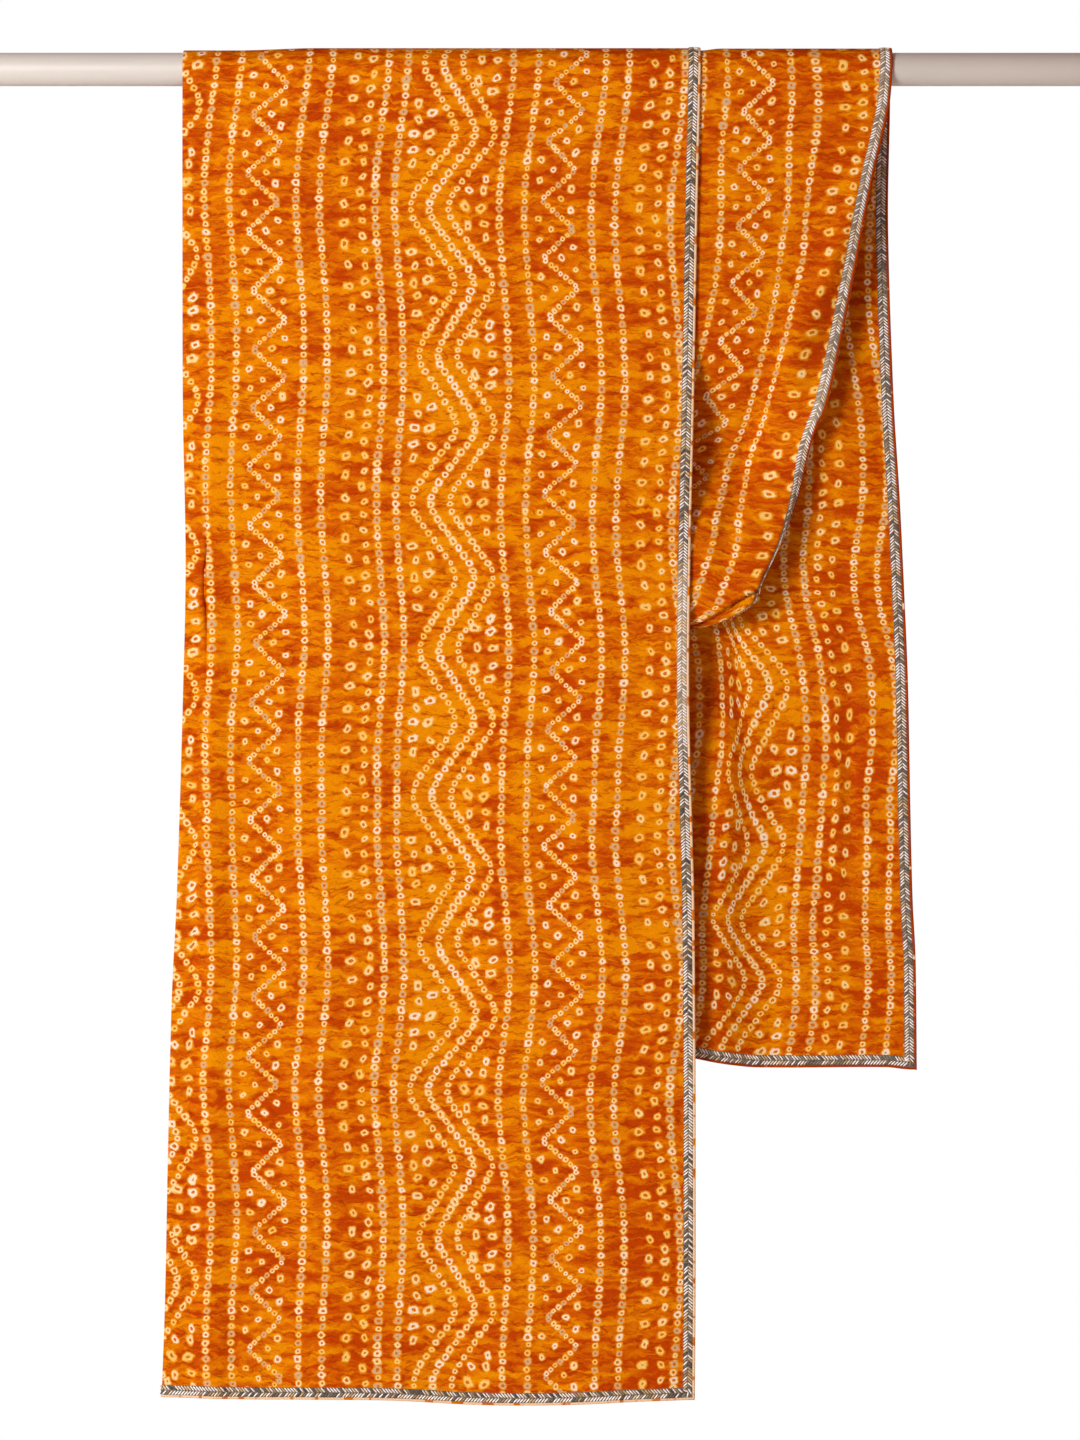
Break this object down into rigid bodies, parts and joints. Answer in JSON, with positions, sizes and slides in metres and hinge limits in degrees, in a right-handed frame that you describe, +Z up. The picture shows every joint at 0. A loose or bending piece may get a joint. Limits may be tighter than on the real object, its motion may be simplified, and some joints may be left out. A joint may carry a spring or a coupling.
{
  "type": "dupatta stole on a rod",
  "caption": "Long printed scarf with lace-trimmed edges, folded lengthwise and wound round a plain round rod.",
  "frame": {"origin": "middle of the rod's axis", "axes": "+X along the rod to the viewer's right, -Y to the front, +Z up"},
  "size_m": [0.9, 0.0367, 0.9369],
  "materials": {
    "rod_paint": "cream gloss paint",
    "printed_cloth": "tie-dye dot print on a soft satin-faced weave",
    "metallic_lace": "woven silver and gold metallic thread in chevrons"
  },
  "bodies": {
    "root": {"rod": "rod_paint", "front_fall": "printed_cloth", "rear_fall": "printed_cloth", "cross_fall": "printed_cloth", "back_fall": "printed_cloth", "front_fall_trim": "metallic_lace", "loop_trim_rear": "metallic_lace", "loop_trim_cross": "metallic_lace", "back_fall_trim_front": "metallic_lace", "back_fall_trim_rear": "metallic_lace"}
  },
  "joints": []
}
